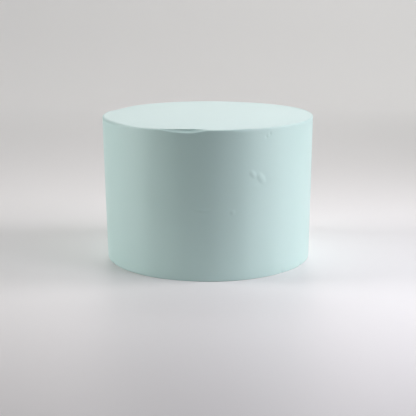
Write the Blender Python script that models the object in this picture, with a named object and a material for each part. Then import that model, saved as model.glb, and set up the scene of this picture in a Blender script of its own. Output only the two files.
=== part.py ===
# A tall round layer cake, smoothly iced all over in one pale mint colour.
# The cake is uncut, so it is one closed solid that stands on its flat base.
#
# Lengths are in millimetres and angles in degrees. The front of the cake faces -Y.
# A bearing is the angle round the cake from its front, and it grows towards +X,
# which is to the right of someone who looks at the front.

import math

import bmesh
import bpy

MM = 0.001

# Driving sizes of the cake
CAKE_HEIGHT = 142.8
TOP_RADIUS = 104.5
BASE_RADIUS = 102.2
FOOT_ROUND = 0.6

# The side swells a little half way up, and its foot stands out a little to the right
SIDE_BULGE = 0.2
SIDE_LEAN = 0.5

# The rim, where the side turns over into the flat top
RIM_INSET = 1.5
RIM_DROP = 1.3
LIP_FLAT = 1.0

# Stretches of rim that the spatula left softer: bearing, reach, more inset, more drop
SOFT_RIMS = (
    (-64, 21, 3.2, 1.4),
    (19, 8, 0.4, 2.0),
    (68, 14, 0.6, 0.6),
    (154, 14, 1.2, 0.8),
)

# Stretches where the top's outer band slopes: bearing, reach, run, drop towards the rim.
# At one stretch the rim is the cake's highest place.
RIM_RISE = 0.3
SLOPING_BANDS = (
    (-36, 24, 24.0, 0.7),
    (30, 9, 24.0, 0.25),
    (112, 24, 20.0, -RIM_RISE),
    (-116, 20, 20.0, 0.8),
)

# The chip in the rim, where icing came away along a straight edge across the top
CHIP_START = -26.0
CHIP_DEEPEST = -10.5
CHIP_END = -0.5
CHIP_DEPTH = 2.5
CHIP_SHARPNESS = 1.25
CHIP_CHORD = 97.8
CHIP_EASE = 3.0
CHIP_SWOOP = 6.0
CHIP_SWOOP_PAST = 1.8
CHIP_STEP = 1.6
CHIP_STEP_SHARPNESS = 3
CHIP_STEP_RUN = 0.5
CHIP_HOLLOW = 0.10

# Shallow waves round the side, from the scraper: how many, how high, where they start
SCRAPER_WAVES = ((4, 0.16, 22), (8, 0.10, 11), (20, 0.06, 2))

# Marks on the side: bearing, height, half length, half width, slant, rise
SIDE_MARKS = (
    (23.4, 100.8, 5.6, 3.4, -48, 0.40),
    (28.2, 96.2, 8.0, 4.4, -52, 0.54),
    (12.7, 66.0, 3.0, 3.0, 0, 0.32),
    (33.2, 137.0, 1.7, 2.4, 0, -0.45),
    (31.0, 134.6, 1.7, 2.2, 0, -0.40),
    (43.3, 0.8, 3.0, 2.4, 0, -1.10),
    (61.6, 0.6, 3.6, 2.2, 0, -0.90),
    (-67.0, 0.6, 3.6, 2.2, 0, -0.90),
    (-104.0, 139.0, 13.0, 15.0, 0, 0.80),
    (-131.0, 84.0, 6.6, 3.8, 42, 0.42),
    (-134.5, 90.5, 4.6, 3.0, 46, 0.34),
    (151.0, 47.0, 3.2, 3.2, 0, 0.32),
    (150.0, 0.7, 3.6, 2.3, 0, -1.00),
)

# A faint crease in the side that curves up at both ends
CREASE_BEARING = -3.3
CREASE_HEIGHT = 68.5
CREASE_HALF_LENGTH = 9.0
CREASE_HALF_WIDTH = 1.8
CREASE_LIFT = 1.4
CREASE_RISE = 0.55

# Spacing of the columns round the cake, and of the rows up its side
PLAIN_BEARING_STEP = 4.5
CLOSE_BEARING_STEP = 1.35
CLOSE_BEARINGS = ((-138.0, -126.0), (-28.0, 46.0), (147.5, 154.5))
PLAIN_HEIGHT_STEP = 30.0
CLOSE_HEIGHT_STEP = 2.0
CLOSE_HEIGHTS = ((0.0, 3.4), (64.5, 71.5), (90.0, 106.0), (133.0, 139.0))

# Rings of the base and of the top, as shares of the flat part's radius
BASE_RINGS = (0.5,)
TOP_RINGS = (0.985, 0.95, 0.88, 0.79, 0.68, 0.5, 0.28)
FOOT_STEPS = 2
RIM_STEPS = 4
LEDGE_STEPS = 3

# The top isn't quite flat: low waves run across it at a slant and die out at the rim
TOP_WAVE = 0.15
TOP_WAVE_LENGTH = 95.0
TOP_WAVE_SLANT = 0.4
TOP_WAVE_FADE = 4

SMOOTH_BELOW_ANGLE = 35.0

# The icing's finish: colour as linear red, green and blue, then how rough it is
ICING_COLOUR = (0.55, 0.74, 0.71, 1.0)
ICING_ROUGHNESS = 0.45


def remove_all_objects():
    """Empty the file, so that it holds nothing but the cake."""
    for old in list(bpy.data.objects):
        bpy.data.objects.remove(old, do_unlink=True)


def swell(distance):
    """A smooth hill: 1 at distance 0, falling to 0 at distance 1 and beyond."""
    if abs(distance) >= 1.0:
        return 0.0
    return (1.0 - distance * distance) ** 2


def smooth_rise(value, start, end):
    """Go smoothly from 0 at start to 1 at end."""
    share = min(max((value - start) / (end - start), 0.0), 1.0)
    return share * share * (3.0 - 2.0 * share)


def turn_between(bearing, other):
    """The angle from one bearing to another, the short way round."""
    return (bearing - other + 180.0) % 360.0 - 180.0


def graded_steps(start, end, plain_step, close_step, close_zones):
    """Places from start up to end, closer together inside the close zones."""
    places = []
    place = start
    while place < end - 0.5 * close_step:
        places.append(place)
        if any(low <= place < high for low, high in close_zones):
            place += close_step
            continue
        next_zones = [low for low, high in close_zones if low > place]
        stop = min(next_zones + [end])
        steps = max(1, math.ceil((stop - place) / plain_step))
        place += (stop - place) / steps
    return places


def chip_share(bearing):
    """How deep the chip is: 1 at its deepest place, 0 at its ends and beyond."""
    from_start = (bearing - CHIP_START) / (CHIP_DEEPEST - CHIP_START)
    from_end = (CHIP_END - bearing) / (CHIP_END - CHIP_DEEPEST)
    nearness = max(min(from_start, from_end), 0.0)
    return math.sin(0.5 * math.pi * nearness) ** CHIP_SHARPNESS


def chip_edge(bearing, whole_edge):
    """Radius at which the flat top ends: a chord along the chip, eased in and out."""
    if not CHIP_START < bearing < CHIP_END + CHIP_SWOOP_PAST:
        return whole_edge
    chord = CHIP_CHORD / math.cos(math.radians(bearing))
    overlap = math.log(1.0 + math.exp(-abs(whole_edge - chord) / CHIP_EASE))
    eased = min(whole_edge, chord) - CHIP_EASE * overlap
    swoop = smooth_rise(bearing, CHIP_END - CHIP_SWOOP, CHIP_END + CHIP_SWOOP_PAST)
    return eased + (whole_edge - eased) * swoop


def rim_softness(bearing):
    """How much further in and further down the rim's rounding reaches."""
    inset = 0.0
    drop = 0.0
    for middle, reach, more_inset, more_drop in SOFT_RIMS:
        share = swell(turn_between(bearing, middle) / reach)
        inset += more_inset * share
        drop += more_drop * share
    return inset, drop


def mark_relief(bearing, height):
    """How far the marks raise or dent the side."""
    relief = 0.0
    for middle, level, half_length, half_width, slant, rise in SIDE_MARKS:
        across = math.radians(turn_between(bearing, middle)) * TOP_RADIUS
        up = height - level
        tilt = math.radians(slant)
        along = across * math.cos(tilt) + up * math.sin(tilt)
        aside = up * math.cos(tilt) - across * math.sin(tilt)
        relief += rise * swell(math.hypot(along / half_length, aside / half_width))
    return relief


def crease_relief(bearing, height):
    """A low ridge that hangs like a slack line."""
    across = math.radians(turn_between(bearing, CREASE_BEARING)) * TOP_RADIUS
    share = across / CREASE_HALF_LENGTH
    line = CREASE_HEIGHT + CREASE_LIFT * share * share
    return CREASE_RISE * swell(share) * swell((height - line) / CREASE_HALF_WIDTH)


def scraper_relief(bearing):
    """Shallow upright waves that the scraper left round the side."""
    relief = 0.0
    for count, rise, start in SCRAPER_WAVES:
        relief += rise * math.cos(math.radians(count * (bearing - start)))
    return relief


def side_radius(bearing, height):
    """Radius of the side at a bearing and a height."""
    share = height / CAKE_HEIGHT
    bulge = SIDE_BULGE * math.sin(math.pi * share)
    lean = SIDE_LEAN * (1.0 - share) * math.sin(math.radians(bearing))
    plain = BASE_RADIUS + (TOP_RADIUS - BASE_RADIUS) * share + bulge + lean
    return plain + scraper_relief(bearing) + mark_relief(bearing, height) + crease_relief(bearing, height)


def band_drop(bearing, radius):
    """How far the top's outer band slopes down towards the rim."""
    drop = 0.0
    for middle, reach, run, depth in SLOPING_BANDS:
        share = swell(turn_between(bearing, middle) / reach)
        drop += depth * share * smooth_rise(radius, TOP_RADIUS - run, TOP_RADIUS)
    return drop


def top_height(bearing, radius):
    """Height of the top, with its sloping bands and its low waves."""
    across = radius * math.sin(math.radians(bearing))
    deep = radius * math.cos(math.radians(bearing))
    wave = math.sin(2.0 * math.pi * (across + TOP_WAVE_SLANT * deep) / TOP_WAVE_LENGTH)
    inside = 1.0 - (radius / TOP_RADIUS) ** TOP_WAVE_FADE
    return CAKE_HEIGHT + TOP_WAVE * wave * inside - band_drop(bearing, radius)


def foot_section(bearing):
    """Radius and height of the base's rings and of the foot's rounding."""
    flat_edge = side_radius(bearing, 0.0) - FOOT_ROUND
    section = [(flat_edge * share, 0.0) for share in BASE_RINGS]
    section.append((flat_edge, 0.0))
    for step in range(1, FOOT_STEPS):
        angle = 0.5 * math.pi * step / FOOT_STEPS
        section.append((flat_edge + FOOT_ROUND * math.sin(angle), FOOT_ROUND * (1.0 - math.cos(angle))))
    return section


def side_section(bearing, top_of_side):
    """Radius and height of the side's rows, squeezed a little under the chip."""
    squeeze_from = CLOSE_HEIGHTS[-1][0]
    whole_top = CAKE_HEIGHT - RIM_DROP
    heights = graded_steps(FOOT_ROUND, whole_top, PLAIN_HEIGHT_STEP, CLOSE_HEIGHT_STEP, CLOSE_HEIGHTS)
    section = []
    for height in heights:
        if height > squeeze_from:
            share = (height - squeeze_from) / (whole_top - squeeze_from)
            height = squeeze_from + share * (top_of_side - squeeze_from)
        section.append((side_radius(bearing, height), height))
    return section


def rim_section(bearing, inset, drop):
    """Radius and height from the top of the side, over the rim and the ledge, to the lip."""
    depth_share = chip_share(bearing)
    lowered = CHIP_DEPTH * depth_share
    shoulder_height = CAKE_HEIGHT - band_drop(bearing, TOP_RADIUS) - lowered
    shoulder_radius = side_radius(bearing, shoulder_height) - inset
    section = []
    for step in range(RIM_STEPS):
        angle = 0.5 * math.pi * step / RIM_STEPS
        section.append((
            shoulder_radius + inset * math.cos(angle),
            shoulder_height - drop * (1.0 - math.sin(angle)),
        ))
    section.append((shoulder_radius, shoulder_height))
    lip = chip_edge(bearing, shoulder_radius - LIP_FLAT)
    foot_radius = lip + min(CHIP_STEP_RUN, 0.5 * (shoulder_radius - lip))
    step_height = CHIP_STEP * depth_share ** CHIP_STEP_SHARPNESS
    foot_height = CAKE_HEIGHT - band_drop(bearing, foot_radius) - step_height
    for step in range(1, LEDGE_STEPS + 1):
        share = step / LEDGE_STEPS
        sag = CHIP_HOLLOW * lowered * 4.0 * share * (1.0 - share)
        section.append((
            shoulder_radius + (foot_radius - shoulder_radius) * share,
            shoulder_height + (foot_height - shoulder_height) * share - sag,
        ))
    section.append((lip, top_height(bearing, lip)))
    return section


def top_section(bearing, lip):
    """Radius and height of the top's rings, from the lip inwards."""
    return [(lip * share, top_height(bearing, lip * share)) for share in TOP_RINGS]


def cake_section(bearing):
    """The whole outline at a bearing, from the middle of the base to the middle of the top."""
    more_inset, more_drop = rim_softness(bearing)
    inset = RIM_INSET + more_inset
    drop = RIM_DROP + more_drop
    rim = rim_section(bearing, inset, drop)
    lip_radius = rim[-1][0]
    top_of_side = rim[0][1]
    return foot_section(bearing) + side_section(bearing, top_of_side) + rim + top_section(bearing, lip_radius)


def place(bearing, radius, height):
    """A point in metres, from its bearing, radius and height."""
    angle = math.radians(bearing)
    return (radius * math.sin(angle) * MM, -radius * math.cos(angle) * MM, height * MM)


def icing_material():
    """Satin buttercream."""
    icing = bpy.data.materials.new("icing")
    icing.use_nodes = True
    shader = icing.node_tree.nodes["Principled BSDF"]
    shader.inputs["Base Color"].default_value = ICING_COLOUR
    shader.inputs["Roughness"].default_value = ICING_ROUGHNESS
    shader.inputs["Metallic"].default_value = 0.0
    return icing


def build_cake():
    """Skin the outlines of all bearings into one closed body."""
    bearings = graded_steps(-180.0, 180.0, PLAIN_BEARING_STEP, CLOSE_BEARING_STEP, CLOSE_BEARINGS)
    body = bmesh.new()
    columns = []
    for bearing in bearings:
        section = cake_section(bearing)
        columns.append([body.verts.new(place(bearing, radius, height)) for radius, height in section])
    base_middle = body.verts.new(place(0.0, 0.0, 0.0))
    top_middle = body.verts.new(place(0.0, 0.0, top_height(0.0, 0.0)))
    for index, column in enumerate(columns):
        beside = columns[(index + 1) % len(columns)]
        body.faces.new((base_middle, beside[0], column[0]))
        for row in range(len(column) - 1):
            body.faces.new((column[row], beside[row], beside[row + 1], column[row + 1]))
        body.faces.new((top_middle, column[-1], beside[-1]))
    bmesh.ops.triangulate(body, faces=body.faces[:])
    mesh = bpy.data.meshes.new("iced_cake")
    body.to_mesh(mesh)
    body.free()
    mesh.shade_smooth()
    mesh.set_sharp_from_angle(angle=math.radians(SMOOTH_BELOW_ANGLE))
    mesh.materials.append(icing_material())
    cake = bpy.data.objects.new("iced_cake", mesh)
    bpy.context.scene.collection.objects.link(cake)
    return cake


remove_all_objects()
build_cake()
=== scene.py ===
# The looks of a tall round layer cake, smoothly iced all over in pale mint buttercream.
#
# Lengths of the cake are in millimetres, lengths of the studio in metres, and angles in
# degrees. The front of the cake faces -Y. A bearing is the angle round the cake from its
# front, and it grows towards +X.

import math

import bpy
import numpy as np
from mathutils import Matrix, Vector


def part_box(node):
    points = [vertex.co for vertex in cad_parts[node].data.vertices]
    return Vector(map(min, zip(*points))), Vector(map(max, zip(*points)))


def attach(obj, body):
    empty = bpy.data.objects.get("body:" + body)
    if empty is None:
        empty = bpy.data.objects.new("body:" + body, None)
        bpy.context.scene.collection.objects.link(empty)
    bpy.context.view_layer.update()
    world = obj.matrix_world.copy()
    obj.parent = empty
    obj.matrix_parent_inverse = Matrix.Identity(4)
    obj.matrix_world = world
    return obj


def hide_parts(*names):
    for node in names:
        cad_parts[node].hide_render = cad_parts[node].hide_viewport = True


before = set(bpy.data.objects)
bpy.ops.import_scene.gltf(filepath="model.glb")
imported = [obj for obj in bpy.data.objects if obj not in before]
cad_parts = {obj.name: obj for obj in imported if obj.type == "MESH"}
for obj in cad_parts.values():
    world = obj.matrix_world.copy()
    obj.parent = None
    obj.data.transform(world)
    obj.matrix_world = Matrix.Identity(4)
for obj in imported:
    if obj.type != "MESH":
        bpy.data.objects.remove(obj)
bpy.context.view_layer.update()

MM = 0.001

# At one stretch the rim is the cake's highest place, this far above the rest of the top
RIM_RISE = 0.3

# The base's radius is this much smaller than the top's
SIDE_TAPER = 2.3

# Driving sizes of the cake, from the frame
SOLID_LOW, SOLID_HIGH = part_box("iced_cake")
CAKE_HEIGHT = round(SOLID_HIGH.z / MM - RIM_RISE, 1)
TOP_RADIUS = 0.5 * round((SOLID_HIGH.x - SOLID_LOW.x) / MM)
BASE_RADIUS = TOP_RADIUS - SIDE_TAPER
FOOT_ROUND = 0.6

# The side swells a little half way up, and its foot stands out a little to the right
SIDE_BULGE = 0.2
SIDE_LEAN = 0.5

# The rim, where the side turns over into the flat top
RIM_INSET = 1.5
RIM_DROP = 1.3
LIP_FLAT = 1.0

# Stretches of rim that the spatula left softer: bearing, reach, more inset, more drop
SOFT_RIMS = (
    (-64, 21, 3.2, 1.4),
    (19, 8, 0.4, 2.0),
    (68, 14, 0.6, 0.6),
    (154, 14, 1.2, 0.8),
)

# Stretches where the top's outer band slopes: bearing, reach, run, drop towards the rim
SLOPING_BANDS = (
    (-36, 24, 24.0, 0.7),
    (30, 9, 24.0, 0.25),
    (112, 24, 20.0, -RIM_RISE),
    (-116, 20, 20.0, 0.8),
)

# The chip in the rim: the bearings of its start, deepest place and end, and its depth
CHIP_START = -26.0
CHIP_DEEPEST = -10.5
CHIP_END = -0.5
CHIP_DEPTH = 2.5
CHIP_SHARPNESS = 1.25

# Its straight edge: distance from the cake's middle, rounding, and sweep out to the rim
CHIP_CHORD = 97.8
CHIP_EASE = 3.0
CHIP_SWOOP = 6.0
CHIP_SWOOP_PAST = 1.8

# The step down from that edge, and the ledge below it, hollow and rough where it tore
CHIP_STEP = 1.6
CHIP_STEP_SHARPNESS = 3
CHIP_STEP_RUN = 0.5
CHIP_HOLLOW = 0.10
CHIP_ROUGH = 0.04
CHIP_ROUGH_ALONG = 1.9
CHIP_ROUGH_ACROSS = 7.0

# Shallow waves round the side, from the scraper: how many, how high, where they start
SCRAPER_WAVES = ((4, 0.16, 22), (8, 0.10, 11), (20, 0.06, 2))

# Marks on the side: bearing, height, half length, half width, slant, rise
SIDE_MARKS = (
    # Two long blisters and a pimple
    (23.4, 100.8, 5.6, 3.4, -48, 0.40),
    (28.2, 96.2, 8.0, 4.4, -52, 0.54),
    (12.7, 66.0, 3.0, 3.0, 0, 0.32),
    # Two nicks under the rim
    (33.2, 137.0, 1.7, 2.4, 0, -0.45),
    (31.0, 134.6, 1.7, 2.2, 0, -0.40),
    # Dents along the foot
    (43.3, 0.8, 3.0, 2.4, 0, -1.10),
    (61.6, 0.6, 3.6, 2.2, 0, -0.90),
    (-67.0, 0.6, 3.6, 2.2, 0, -0.90),
    # A low swelling under the left rim
    (-104.0, 139.0, 13.0, 15.0, 0, 0.80),
    # Two blisters, a pimple and a dent in the foot at the back
    (-131.0, 84.0, 6.6, 3.8, 42, 0.42),
    (-134.5, 90.5, 4.6, 3.0, 46, 0.34),
    (151.0, 47.0, 3.2, 3.2, 0, 0.32),
    (150.0, 0.7, 3.6, 2.3, 0, -1.00),
)

# A faint crease in the side that curves up at both ends
CREASE_BEARING = -3.3
CREASE_HEIGHT = 68.5
CREASE_HALF_LENGTH = 9.0
CREASE_HALF_WIDTH = 1.8
CREASE_LIFT = 1.4
CREASE_RISE = 0.55

# The top isn't quite flat: low waves run across it at a slant and die out at the rim
TOP_WAVE = 0.15
TOP_WAVE_LENGTH = 95.0
TOP_WAVE_SLANT = 0.4
TOP_WAVE_FADE = 4

# The hand's unevenness all over the side: rows of low swells that wander as they go up
UNEVEN_RISE = 0.05
UNEVEN_SPREAD = 22.0
UNEVEN_ROWS = 1.9
UNEVEN_ROW_START = 1.0
UNEVEN_WANDER = 1.7
UNEVEN_WANDER_ROWS = 0.7
UNEVEN_WANDER_ROUND = 2.0

# Spacing of the columns round the cake, of the rows up its side, and of the rings
PLAIN_BEARING_STEP = 0.85
CLOSE_BEARING_STEP = 0.5
CLOSE_BEARINGS = ((-28.0, 46.0),)
PLAIN_HEIGHT_STEP = 1.6
CLOSE_HEIGHT_STEP = 0.8
CLOSE_HEIGHTS = ((0.0, 3.4), (64.5, 71.5), (90.0, 106.0), (133.0, 139.0))
BASE_RINGS = 6
TOP_RINGS = 30
TOP_RING_CROWDING = 1.4
FOOT_STEPS = 4
RIM_STEPS = 8
LEDGE_STEPS = 12
SMOOTH_BELOW_ANGLE = 50.0

# Buttercream, in linear red, green and blue
MINT = (0.541, 0.729, 0.696, 1.0)
PALE_MINT = (0.563, 0.751, 0.720, 1.0)
# A darker mint for the chip's hollow ledge under its step: painted shade, not a different colour of
# the icing
SHADED_LEDGE_MINT = (0.425, 0.590, 0.557, 1.0)

# Its shine, and the little light that passes into it
ICING_SHINE = 0.8
ICING_IOR = 1.52
LIGHT_INTO_ICING = 0.15
LIGHT_DEPTH = 0.004
LIGHT_SPREAD = (1.0, 1.0, 0.9)

# Its fine relief: height in metres, the grain's share of it, and the grain's effect on gloss
FINE_RELIEF = 0.0002
GRAIN_SHARE = 0.25
GRAIN_GLOSS = 0.10

# Kinds of noise: detail and roughness
TONE_NOISE = (3.0, 0.55)
GRAIN_NOISE = (2.0, 0.5)
DRAG_NOISE = (3.0, 0.6)

# Air pinholes: their sizes beside the full radius, and how their floors are rounded
PIT_LEAST_SIZE = 0.4
PIT_SIZE_RANGE = 0.8
PIT_FLOOR = 0.7
PIT_FLOOR_EASE = 0.3

# Finishes: name, two colours, the drag lines' stretch and share, roughness, pits, relief
ICING_FINISHES = (
    ("base_icing", MINT, PALE_MINT, (60.0, 60.0, 60.0), 0.5, 0.5, 0.02, 0.35),
    ("side_icing", MINT, PALE_MINT, (25.0, 25.0, 900.0), 0.5, 0.45, 0.04, 0.35),
    ("top_icing", MINT, PALE_MINT, (90.0, 500.0, 60.0), 0.5, 0.45, 0.03, 0.35),
    # The chip's ledge: its darker first colour is painted shade in the hollow, while its roughness,
    # pits and relief are the torn icing's own
    ("torn_and_shaded_icing", SHADED_LEDGE_MINT, MINT, (300.0, 300.0, 300.0), 0.3, 0.65, 0.15, 0.8),
)
BASE_FINISH, SIDE_FINISH, TOP_FINISH, TORN_AND_SHADED_FINISH = range(len(ICING_FINISHES))

# Kinds of socket on a shader group
VECTOR = "NodeSocketVector"
NUMBER = "NodeSocketFloat"
COLOUR = "NodeSocketColor"

# The floor, which sweeps up into a backdrop behind the cake
FLOOR_GREY = (0.80, 0.79, 0.78, 1.0)
FLOOR_ROUGHNESS = 0.45
FLOOR_HALF_WIDTH = 6.0
FLOOR_FRONT = -7.0
SWEEP_START = 1.1
SWEEP_RADIUS = 0.6
SWEEP_STEPS = 24
BACKDROP_TOP = 2.0

# Where the floor fades into the room: towards the front, and to both sides
FRONT_FADE = (-0.42, -1.1)
SIDE_FADE = (0.75, 1.5)

# The room beyond the floor, which is seen but gives no light
ROOM_GREY = (0.98, 0.97, 0.98, 1.0)
ROOM_BRIGHTNESS = 0.62

# Colours of light, in linear red, green and blue
WHITE_LIGHT = (1.0, 1.0, 1.0)
ROSY_LIGHT = (1.01, 0.97, 0.99)
BLUE_LIGHT = (0.98, 0.99, 1.18)
GREEN_LIGHT = (0.96, 1.07, 1.02)
WARM_LIGHT = (1.02, 0.99, 1.00)

# Softboxes round the cake: name, bearing, height, how tall, height aimed at, brightness, colour
SOFTBOX_DISTANCE = 1.3
SOFTBOX_WIDTH = 0.55
SOFTBOX_BEAM = 70.0
SIDE_SOFTBOXES = (
    ("left_softbox", -90.0, 0.80, 0.60, 0.15, 1.61, WARM_LIGHT),
    ("left_low_softbox", -90.0, 0.24, 0.42, 0.20, 0.43, WARM_LIGHT),
    ("left_front_softbox", -65.0, 0.24, 0.42, 0.20, 0.37, GREEN_LIGHT),
    ("right_softbox", 90.0, 0.80, 0.60, 0.15, 2.01, ROSY_LIGHT),
    ("right_front_softbox", 65.0, 0.80, 0.60, 0.15, 0.88, ROSY_LIGHT),
    ("right_low_softbox", 65.0, 0.24, 0.42, 0.20, 0.24, ROSY_LIGHT),
)

# The other lamps: name, place, aim, width, how tall, beam, brightness, colour
OTHER_LAMPS = (
    ("overhead_spot", (0.7, -0.5, 1.1), (0.4, -0.25, 0.0), 0.4, 0.4, 50.0, 1.27, BLUE_LIGHT),
    ("back_panel", (0.0, 1.6, 0.8), (0.0, 0.0, 0.14), 1.6, 0.3, 50.0, 0.34, WHITE_LIGHT),
    ("floor_wash", (0.0, 0.9, 1.4), (0.0, 1.1, 0.0), 3.0, 0.5, 120.0, 1.67, WHITE_LIGHT),
    ("backdrop_wash", (0.0, 0.8, 1.2), (0.0, 1.6, 0.3), 3.0, 0.4, 120.0, 0.89, WHITE_LIGHT),
    ("right_backdrop_wash", (1.2, 0.8, 1.2), (1.2, 1.6, 0.3), 1.6, 0.4, 120.0, 1.17, WHITE_LIGHT),
)

# The camera, in front of the cake: metres, degrees, and the lens and sensor in millimetres
CAMERA_DISTANCE = 1.0220
CAMERA_HEIGHT = 0.2850
CAMERA_TILT = 13.12
CAMERA_ROLL = -0.10
CAMERA_LENS = 89.15
CAMERA_SENSOR = 36.0


def swell(distance):
    """A smooth hill: 1 at distance 0, falling to 0 at distance 1 and beyond."""
    return np.where(np.abs(distance) < 1.0, (1.0 - np.square(distance)) ** 2, 0.0)


def smooth_rise(value, start, end):
    """Go smoothly from 0 at start to 1 at end."""
    share = np.clip((value - start) / (end - start), 0.0, 1.0)
    return share * share * (3.0 - 2.0 * share)


def turn_between(bearing, other):
    """The angle from one bearing to another, the short way round."""
    return (bearing - other + 180.0) % 360.0 - 180.0


def graded_steps(start, end, plain_step, close_step, close_zones):
    """Places from start up to end, closer together inside the close zones."""
    places = []
    place = start
    while place < end - 0.5 * close_step:
        places.append(place)
        if any(low <= place < high for low, high in close_zones):
            place += close_step
            continue
        next_zones = [low for low, high in close_zones if low > place]
        stop = min(next_zones + [end])
        steps = max(1, math.ceil((stop - place) / plain_step))
        place += (stop - place) / steps
    return np.array(places)


def chip_share(bearing):
    """How deep the chip is: 1 at its deepest place, 0 at its ends and beyond."""
    from_start = (bearing - CHIP_START) / (CHIP_DEEPEST - CHIP_START)
    from_end = (CHIP_END - bearing) / (CHIP_END - CHIP_DEEPEST)
    nearness = np.clip(np.minimum(from_start, from_end), 0.0, 1.0)
    return np.sin(0.5 * math.pi * nearness) ** CHIP_SHARPNESS


def chip_edge(bearing, whole_edge):
    """Radius at which the flat top ends: a chord along the chip, eased in and out."""
    near = (bearing > CHIP_START) & (bearing < CHIP_END + CHIP_SWOOP_PAST)
    chord = CHIP_CHORD / np.cos(np.radians(np.where(near, bearing, 0.0)))
    overlap = np.log(1.0 + np.exp(-np.abs(whole_edge - chord) / CHIP_EASE))
    eased = np.minimum(whole_edge, chord) - CHIP_EASE * overlap
    swoop = smooth_rise(bearing, CHIP_END - CHIP_SWOOP, CHIP_END + CHIP_SWOOP_PAST)
    return np.where(near, eased + (whole_edge - eased) * swoop, whole_edge)


def rim_softness(bearing):
    """How much further in and further down the rim's rounding reaches."""
    inset = np.zeros_like(bearing)
    drop = np.zeros_like(bearing)
    for middle, reach, more_inset, more_drop in SOFT_RIMS:
        share = swell(turn_between(bearing, middle) / reach)
        inset += more_inset * share
        drop += more_drop * share
    return inset, drop


def mark_relief(bearing, height):
    """How far the marks raise or dent the side."""
    relief = 0.0
    for middle, level, half_length, half_width, slant, rise in SIDE_MARKS:
        across = np.radians(turn_between(bearing, middle)) * TOP_RADIUS
        up = height - level
        tilt = math.radians(slant)
        along = across * math.cos(tilt) + up * math.sin(tilt)
        aside = up * math.cos(tilt) - across * math.sin(tilt)
        relief = relief + rise * swell(np.hypot(along / half_length, aside / half_width))
    return relief


def crease_relief(bearing, height):
    """A low ridge that hangs like a slack line."""
    across = np.radians(turn_between(bearing, CREASE_BEARING)) * TOP_RADIUS
    share = across / CREASE_HALF_LENGTH
    line = CREASE_HEIGHT + CREASE_LIFT * share * share
    return CREASE_RISE * swell(share) * swell((height - line) / CREASE_HALF_WIDTH)


def scraper_relief(bearing):
    """Shallow upright waves that the scraper left round the side."""
    relief = np.zeros_like(bearing)
    for count, rise, start in SCRAPER_WAVES:
        relief += rise * np.cos(np.radians(count * (bearing - start)))
    return relief


def uneven_relief(bearing, height):
    """Very low swells up the side, where the hand pressed a little more or less."""
    turn = np.radians(bearing)
    up = height / UNEVEN_SPREAD
    wander = UNEVEN_WANDER * np.sin(UNEVEN_WANDER_ROWS * up + UNEVEN_WANDER_ROUND * np.sin(turn))
    ripples_round = round(2.0 * TOP_RADIUS / UNEVEN_SPREAD)
    rows = np.sin(UNEVEN_ROWS * up + UNEVEN_ROW_START)
    return UNEVEN_RISE * np.sin(ripples_round * turn + wander) * rows


def side_radius(bearing, height):
    """Radius of the side at a bearing and a height."""
    share = height / CAKE_HEIGHT
    bulge = SIDE_BULGE * np.sin(math.pi * share)
    lean = SIDE_LEAN * (1.0 - share) * np.sin(np.radians(bearing))
    plain = BASE_RADIUS + (TOP_RADIUS - BASE_RADIUS) * share + bulge + lean
    marks = mark_relief(bearing, height) + crease_relief(bearing, height)
    return plain + scraper_relief(bearing) + marks + uneven_relief(bearing, height)


def band_drop(bearing, radius):
    """How far the top's outer band slopes down towards the rim."""
    drop = 0.0
    for middle, reach, run, depth in SLOPING_BANDS:
        share = swell(turn_between(bearing, middle) / reach)
        drop = drop + depth * share * smooth_rise(radius, TOP_RADIUS - run, TOP_RADIUS)
    return drop


def top_height(bearing, radius):
    """Height of the top, with its sloping bands and its low waves."""
    across = radius * np.sin(np.radians(bearing))
    deep = radius * np.cos(np.radians(bearing))
    wave = np.sin(2.0 * math.pi * (across + TOP_WAVE_SLANT * deep) / TOP_WAVE_LENGTH)
    inside = 1.0 - (radius / TOP_RADIUS) ** TOP_WAVE_FADE
    return CAKE_HEIGHT + TOP_WAVE * wave * inside - band_drop(bearing, radius)


def foot_section(bearing):
    """Radius and height of the base's rings and of the foot's rounding."""
    ground = np.zeros_like(bearing)
    flat_edge = side_radius(bearing, ground) - FOOT_ROUND
    section = [(flat_edge * ring / BASE_RINGS, ground) for ring in range(1, BASE_RINGS + 1)]
    for step in range(1, FOOT_STEPS):
        angle = 0.5 * math.pi * step / FOOT_STEPS
        lift = FOOT_ROUND * (1.0 - math.cos(angle))
        section.append((flat_edge + FOOT_ROUND * math.sin(angle), ground + lift))
    return section


def side_section(bearing, top_of_side):
    """Radius and height of the side's rows, squeezed a little under the chip."""
    squeeze_from = CLOSE_HEIGHTS[-1][0]
    whole_top = CAKE_HEIGHT - RIM_DROP
    levels = graded_steps(FOOT_ROUND, whole_top, PLAIN_HEIGHT_STEP, CLOSE_HEIGHT_STEP, CLOSE_HEIGHTS)
    section = []
    for level in levels:
        height = np.full_like(bearing, level)
        if level > squeeze_from:
            share = (level - squeeze_from) / (whole_top - squeeze_from)
            height = squeeze_from + share * (top_of_side - squeeze_from)
        section.append((side_radius(bearing, height), height))
    return section


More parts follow.
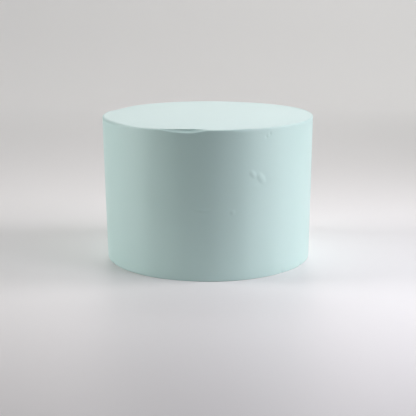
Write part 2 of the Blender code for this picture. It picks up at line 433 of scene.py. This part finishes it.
def rim_section(bearing, inset, drop):
    """Radius and height from the top of the side, over the rim and the ledge, to the lip."""
    depth_share = chip_share(bearing)
    lowered = CHIP_DEPTH * depth_share
    shoulder_height = CAKE_HEIGHT - band_drop(bearing, TOP_RADIUS) - lowered
    shoulder_radius = side_radius(bearing, shoulder_height) - inset
    section = []
    for step in range(RIM_STEPS):
        angle = 0.5 * math.pi * step / RIM_STEPS
        section.append((
            shoulder_radius + inset * math.cos(angle),
            shoulder_height - drop * (1.0 - math.sin(angle)),
        ))
    section.append((shoulder_radius, shoulder_height))
    lip = chip_edge(bearing, shoulder_radius - LIP_FLAT)
    foot_radius = lip + np.minimum(CHIP_STEP_RUN, 0.5 * (shoulder_radius - lip))
    step_height = CHIP_STEP * depth_share ** CHIP_STEP_SHARPNESS
    foot_height = CAKE_HEIGHT - band_drop(bearing, foot_radius) - step_height
    for step in range(1, LEDGE_STEPS + 1):
        share = step / LEDGE_STEPS
        sag = CHIP_HOLLOW * lowered * 4.0 * share * (1.0 - share)
        ripple = np.sin(CHIP_ROUGH_ALONG * bearing + CHIP_ROUGH_ACROSS * share)
        torn = CHIP_ROUGH * lowered * ripple * math.sin(math.pi * share)
        section.append((
            shoulder_radius + (foot_radius - shoulder_radius) * share,
            shoulder_height + (foot_height - shoulder_height) * share - sag + torn,
        ))
    section.append((lip, top_height(bearing, lip)))
    return section


def top_section(bearing, lip):
    """Radius and height of the top's rings, from the lip inwards, closest at the lip."""
    section = []
    for ring in range(1, TOP_RINGS):
        share = 1.0 - (ring / TOP_RINGS) ** TOP_RING_CROWDING
        section.append((lip * share, top_height(bearing, lip * share)))
    return section


def cake_points():
    """All points of the icing as rows of columns, their bearings, and the rim's last row."""
    bearing = graded_steps(-180.0, 180.0, PLAIN_BEARING_STEP, CLOSE_BEARING_STEP, CLOSE_BEARINGS)
    more_inset, more_drop = rim_softness(bearing)
    rim = rim_section(bearing, RIM_INSET + more_inset, RIM_DROP + more_drop)
    lip_radius = rim[-1][0]
    top_of_side = rim[0][1]
    foot = foot_section(bearing)
    side = side_section(bearing, top_of_side)
    section = foot + side + rim + top_section(bearing, lip_radius)
    radius = np.array([row[0] for row in section])
    height = np.array([row[1] for row in section])
    angle = np.radians(bearing)[None, :]
    points = np.stack([radius * np.sin(angle), -radius * np.cos(angle), height], axis=-1) * MM
    return points, bearing, len(foot) + len(side) + RIM_STEPS


def skin(points):
    """Faces over rows of points that close into rings, each with its row and its column."""
    rows, columns = points.shape[:2]
    base_middle = rows * columns
    top_middle = base_middle + 1
    faces = []
    face_places = []
    for column in range(columns):
        beside = (column + 1) % columns
        faces.append((base_middle, beside, column))
        face_places.append((0, column))
        for row in range(rows - 1):
            low = row * columns
            high = low + columns
            faces.append((low + column, low + beside, high + beside, high + column))
            face_places.append((row + 1, column))
        last = (rows - 1) * columns
        faces.append((top_middle, last + column, last + beside))
        face_places.append((rows, column))
    return faces, face_places


def finish_number(row, in_chip, rim_row):
    """Which of the finishes a face has, by its row."""
    if row < BASE_RINGS:
        return BASE_FINISH
    if row <= rim_row:
        return SIDE_FINISH
    # The chip's ledge takes the torn finish, whose darker colour is painted shade
    if in_chip and row <= rim_row + LEDGE_STEPS + 1:
        return TORN_AND_SHADED_FINISH
    return TOP_FINISH


def build_icing(materials):
    """The cake's whole iced surface as one closed mesh."""
    points, bearing, rim_row = cake_points()
    faces, face_places = skin(points)
    corners = [tuple(corner) for corner in points.reshape(-1, 3)]
    corners.append((0.0, 0.0, 0.0))
    corners.append((0.0, 0.0, float(top_height(0.0, 0.0)) * MM))
    mesh = bpy.data.meshes.new("icing")
    mesh.from_pydata(corners, [], faces)
    for material in materials:
        mesh.materials.append(material)
    in_chip = chip_share(bearing) > 0.0
    finish = [finish_number(row, in_chip[column], rim_row) for row, column in face_places]
    mesh.polygons.foreach_set("material_index", finish)
    mesh.shade_smooth()
    mesh.set_sharp_from_angle(angle=math.radians(SMOOTH_BELOW_ANGLE))
    mesh.update()
    icing = bpy.data.objects.new("icing", mesh)
    bpy.context.scene.collection.objects.link(icing)
    return icing


def new_group(name, inputs, outputs):
    """An empty shader node group with its sockets and its two end nodes."""
    group = bpy.data.node_groups.new(name, "ShaderNodeTree")
    for socket_name, kind, value in inputs:
        socket = group.interface.new_socket(name=socket_name, in_out="INPUT", socket_type=kind)
        if value is not None:
            socket.default_value = value
    for socket_name, kind in outputs:
        group.interface.new_socket(name=socket_name, in_out="OUTPUT", socket_type=kind)
    start = group.nodes.new("NodeGroupInput")
    end = group.nodes.new("NodeGroupOutput")
    return group, start, end


def feed(tree, value, socket):
    """Give a socket its value, which is another socket or a plain number."""
    if isinstance(value, (int, float)):
        socket.default_value = value
    else:
        tree.links.new(value, socket)


def math_node(tree, operation, *values):
    """A Math node fed by sockets or by plain numbers; gives its output."""
    node = tree.nodes.new("ShaderNodeMath")
    node.operation = operation
    for index, value in enumerate(values):
        feed(tree, value, node.inputs[index])
    return node.outputs[0]


def noise_value(tree, vector, scale, kind):
    """Smooth noise in three dimensions, around one half."""
    detail, roughness = kind
    noise = tree.nodes.new("ShaderNodeTexNoise")
    noise.noise_dimensions = "3D"
    noise.inputs["Detail"].default_value = detail
    noise.inputs["Roughness"].default_value = roughness
    tree.links.new(vector, noise.inputs["Vector"])
    feed(tree, scale, noise.inputs["Scale"])
    return noise.outputs["Fac"]


def stretched(tree, vector, stretch):
    """The same coordinates, multiplied along each axis."""
    node = tree.nodes.new("ShaderNodeVectorMath")
    node.operation = "MULTIPLY"
    node.inputs[1].default_value = stretch
    tree.links.new(vector, node.inputs[0])
    return node.outputs["Vector"]


def pinhole_group():
    """Tiny pits where air came out of the buttercream."""
    group, start, end = new_group(
        "air_pinholes",
        (
            ("Position", VECTOR, None),
            ("Pits Across A Metre", NUMBER, 300.0),
            ("Share Of Pits", NUMBER, 0.04),
            ("Pit Radius", NUMBER, 0.16),
        ),
        (("Height", NUMBER),),
    )
    cells = group.nodes.new("ShaderNodeTexVoronoi")
    cells.feature = "F1"
    group.links.new(start.outputs["Position"], cells.inputs["Vector"])
    group.links.new(start.outputs["Pits Across A Metre"], cells.inputs["Scale"])
    lot = group.nodes.new("ShaderNodeSeparateColor")
    group.links.new(cells.outputs["Color"], lot.inputs["Color"])
    chosen = math_node(group, "LESS_THAN", lot.outputs["Red"], start.outputs["Share Of Pits"])
    size = math_node(group, "MULTIPLY_ADD", lot.outputs["Green"], PIT_SIZE_RANGE, PIT_LEAST_SIZE)
    reach = math_node(group, "MULTIPLY", size, start.outputs["Pit Radius"])
    near = math_node(group, "DIVIDE", cells.outputs["Distance"], reach)
    bowl = math_node(group, "SUBTRACT", 1.0, near)
    hollow = math_node(group, "MAXIMUM", bowl, 0.0)
    rounded = math_node(group, "SMOOTH_MIN", hollow, PIT_FLOOR, PIT_FLOOR_EASE)
    depth = math_node(group, "MULTIPLY", rounded, chosen)
    group.links.new(math_node(group, "MULTIPLY", depth, -1.0), end.inputs["Height"])
    return group


def tone_group():
    """Faint differences of tone, where the colour is mixed in a little unevenly."""
    group, start, end = new_group(
        "colour_mixing",
        (
            ("Position", VECTOR, None),
            ("Patches Across A Metre", NUMBER, 18.0),
            ("First Colour", COLOUR, MINT),
            ("Second Colour", COLOUR, PALE_MINT),
            ("Contrast", NUMBER, 0.8),
        ),
        (("Color", COLOUR),),
    )
    place = start.outputs["Position"]
    patches = noise_value(group, place, start.outputs["Patches Across A Metre"], TONE_NOISE)
    centred = math_node(group, "SUBTRACT", patches, 0.5)
    wide = math_node(group, "MULTIPLY_ADD", centred, start.outputs["Contrast"], 0.5)
    mask = math_node(group, "MINIMUM", math_node(group, "MAXIMUM", wide, 0.0), 1.0)
    mix = group.nodes.new("ShaderNodeMix")
    mix.data_type = "RGBA"
    group.links.new(mask, mix.inputs["Factor"])
    group.links.new(start.outputs["First Colour"], mix.inputs["A"])
    group.links.new(start.outputs["Second Colour"], mix.inputs["B"])
    group.links.new(mix.outputs["Result"], end.inputs["Color"])
    return group


def grain_group():
    """The fine grain of sugar and fat, with drag lines along one direction."""
    group, start, end = new_group(
        "buttercream_grain",
        (
            ("Position", VECTOR, None),
            ("Drag Position", VECTOR, None),
            ("Grains Across A Metre", NUMBER, 900.0),
            ("Drag", NUMBER, 0.5),
        ),
        (("Height", NUMBER),),
    )
    place = start.outputs["Position"]
    grain = noise_value(group, place, start.outputs["Grains Across A Metre"], GRAIN_NOISE)
    drag = noise_value(group, start.outputs["Drag Position"], 1.0, DRAG_NOISE)
    drawn = math_node(group, "MULTIPLY", drag, start.outputs["Drag"])
    still = math_node(group, "SUBTRACT", 1.0, start.outputs["Drag"])
    height = math_node(group, "MULTIPLY_ADD", grain, still, drawn)
    group.links.new(height, end.inputs["Height"])
    return group


def place_group(tree, group, position):
    """Put a shared group into a material's nodes, at the surface's own places."""
    node = tree.nodes.new("ShaderNodeGroup")
    node.node_tree = group
    tree.links.new(position, node.inputs["Position"])
    return node


def new_material(name):
    """A material, its nodes and its Principled shader."""
    material = bpy.data.materials.new(name)
    material.use_nodes = True
    tree = material.node_tree
    return material, tree, tree.nodes["Principled BSDF"]


def icing_finish(groups, name, first, second, drag_stretch, drag_share, roughness, pit_share, relief):
    """Satin buttercream, with its drag lines drawn along the way the tool moved."""
    material, tree, shader = new_material(name)
    place = tree.nodes.new("ShaderNodeTexCoord").outputs["Object"]

    tone = place_group(tree, groups["tone"], place)
    tone.inputs["First Colour"].default_value = first
    tone.inputs["Second Colour"].default_value = second
    tree.links.new(tone.outputs["Color"], shader.inputs["Base Color"])

    grain = place_group(tree, groups["grain"], place)
    tree.links.new(stretched(tree, place, drag_stretch), grain.inputs["Drag Position"])
    grain.inputs["Drag"].default_value = drag_share

    pits = place_group(tree, groups["pits"], place)
    pits.inputs["Share Of Pits"].default_value = pit_share

    grain_height = grain.outputs["Height"]
    gloss = math_node(tree, "MULTIPLY_ADD", grain_height, GRAIN_GLOSS, roughness - 0.5 * GRAIN_GLOSS)
    tree.links.new(gloss, shader.inputs["Roughness"])

    height = math_node(tree, "MULTIPLY_ADD", grain_height, GRAIN_SHARE, pits.outputs["Height"])
    bump = tree.nodes.new("ShaderNodeBump")
    bump.inputs["Strength"].default_value = relief
    bump.inputs["Distance"].default_value = FINE_RELIEF
    tree.links.new(height, bump.inputs["Height"])
    tree.links.new(bump.outputs["Normal"], shader.inputs["Normal"])

    shader.inputs["Metallic"].default_value = 0.0
    shader.inputs["IOR"].default_value = ICING_IOR
    shader.inputs["Specular IOR Level"].default_value = ICING_SHINE
    shader.inputs["Subsurface Weight"].default_value = LIGHT_INTO_ICING
    shader.inputs["Subsurface Scale"].default_value = LIGHT_DEPTH
    shader.inputs["Subsurface Radius"].default_value = LIGHT_SPREAD
    return material


def icing_materials():
    """One finish each for the base, the side, the top and the torn icing in the chip, whose darker
    colour is painted shade in the hollow.
    """
    groups = {"tone": tone_group(), "grain": grain_group(), "pits": pinhole_group()}
    return [icing_finish(groups, *finish) for finish in ICING_FINISHES]


def fading(tree, value, fade):
    """Go smoothly from 1 where the fade starts to 0 where it ends."""
    node = tree.nodes.new("ShaderNodeMapRange")
    node.interpolation_type = "SMOOTHSTEP"
    start, end = fade
    node.inputs["From Min"].default_value = end
    node.inputs["From Max"].default_value = start
    tree.links.new(value, node.inputs["Value"])
    return node.outputs["Result"]


def floor_paper():
    """Pale matt paper that fades out where the lamps no longer reach it."""
    material, tree, shader = new_material("floor_paper")
    shader.inputs["Base Color"].default_value = FLOOR_GREY
    shader.inputs["Roughness"].default_value = FLOOR_ROUGHNESS
    place = tree.nodes.new("ShaderNodeSeparateXYZ")
    tree.links.new(tree.nodes.new("ShaderNodeTexCoord").outputs["Object"], place.inputs["Vector"])
    to_front = fading(tree, place.outputs["Y"], FRONT_FADE)
    to_side = fading(tree, math_node(tree, "ABSOLUTE", place.outputs["X"]), SIDE_FADE)
    tree.links.new(math_node(tree, "MULTIPLY", to_front, to_side), shader.inputs["Alpha"])
    return material


def floor_profile():
    """Depth and height along the floor, up its round sweep and up the backdrop."""
    profile = [(FLOOR_FRONT, 0.0)]
    for step in range(SWEEP_STEPS + 1):
        angle = 0.5 * math.pi * step / SWEEP_STEPS
        depth = SWEEP_START + SWEEP_RADIUS * math.sin(angle)
        profile.append((depth, SWEEP_RADIUS * (1.0 - math.cos(angle))))
    profile.append((SWEEP_START + SWEEP_RADIUS, BACKDROP_TOP))
    return profile


def build_floor():
    """A pale floor that sweeps up into a backdrop behind the cake."""
    profile = floor_profile()
    corners = []
    for depth, height in profile:
        corners.append((-FLOOR_HALF_WIDTH, depth, height))
        corners.append((FLOOR_HALF_WIDTH, depth, height))
    faces = [(2 * row, 2 * row + 1, 2 * row + 3, 2 * row + 2) for row in range(len(profile) - 1)]
    mesh = bpy.data.meshes.new("floor")
    mesh.from_pydata(corners, [], faces)
    mesh.shade_smooth()
    mesh.materials.append(floor_paper())
    floor = bpy.data.objects.new("floor", mesh)
    bpy.context.scene.collection.objects.link(floor)


def add_lamp(name, place, aim, width, tall, beam, brightness, colour):
    """A soft lamp that faces its aim. Brightness is that of its own surface."""
    lamp = bpy.data.lights.new(name, "AREA")
    lamp.shape = "RECTANGLE"
    lamp.size = width
    lamp.size_y = tall
    lamp.spread = math.radians(beam)
    lamp.energy = brightness * math.pi * width * tall
    lamp.color = colour
    softbox = bpy.data.objects.new(name, lamp)
    softbox.location = place
    direction = Vector(aim) - Vector(place)
    softbox.rotation_euler = direction.to_track_quat("-Z", "Y").to_euler()
    softbox.visible_camera = False
    bpy.context.scene.collection.objects.link(softbox)


def show_room():
    """A pale room behind the floor, seen by the camera alone."""
    world = bpy.data.worlds.new("studio")
    world.use_nodes = True
    tree = world.node_tree
    room = tree.nodes["Background"]
    room.inputs["Color"].default_value = ROOM_GREY
    seen = tree.nodes.new("ShaderNodeLightPath").outputs["Is Camera Ray"]
    tree.links.new(math_node(tree, "MULTIPLY", seen, ROOM_BRIGHTNESS), room.inputs["Strength"])
    bpy.context.scene.world = world


def light_studio():
    """Softboxes at both sides, the right ones stronger, a spot, a back panel and washes."""
    for name, bearing, height, tall, aim_height, brightness, colour in SIDE_SOFTBOXES:
        angle = math.radians(bearing)
        place = (SOFTBOX_DISTANCE * math.sin(angle), -SOFTBOX_DISTANCE * math.cos(angle), height)
        aim = (0.0, 0.0, aim_height)
        add_lamp(name, place, aim, SOFTBOX_WIDTH, tall, SOFTBOX_BEAM, brightness, colour)
    for lamp in OTHER_LAMPS:
        add_lamp(*lamp)


def place_camera():
    """The photograph's viewpoint, straight in front and looking a little down."""
    lens = bpy.data.cameras.new("camera")
    lens.lens = CAMERA_LENS
    lens.sensor_width = CAMERA_SENSOR
    camera = bpy.data.objects.new("camera", lens)
    stand = Matrix.Translation((0.0, -CAMERA_DISTANCE, CAMERA_HEIGHT))
    tilt = Matrix.Rotation(math.radians(90.0 - CAMERA_TILT), 4, "X")
    roll = Matrix.Rotation(math.radians(CAMERA_ROLL), 4, "Z")
    camera.matrix_world = stand @ tilt @ roll
    bpy.context.scene.collection.objects.link(camera)
    bpy.context.scene.camera = camera


bpy.context.scene.view_settings.view_transform = "Standard"
icing = build_icing(icing_materials())
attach(icing, "root")
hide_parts("iced_cake")
build_floor()
show_room()
light_studio()
place_camera()
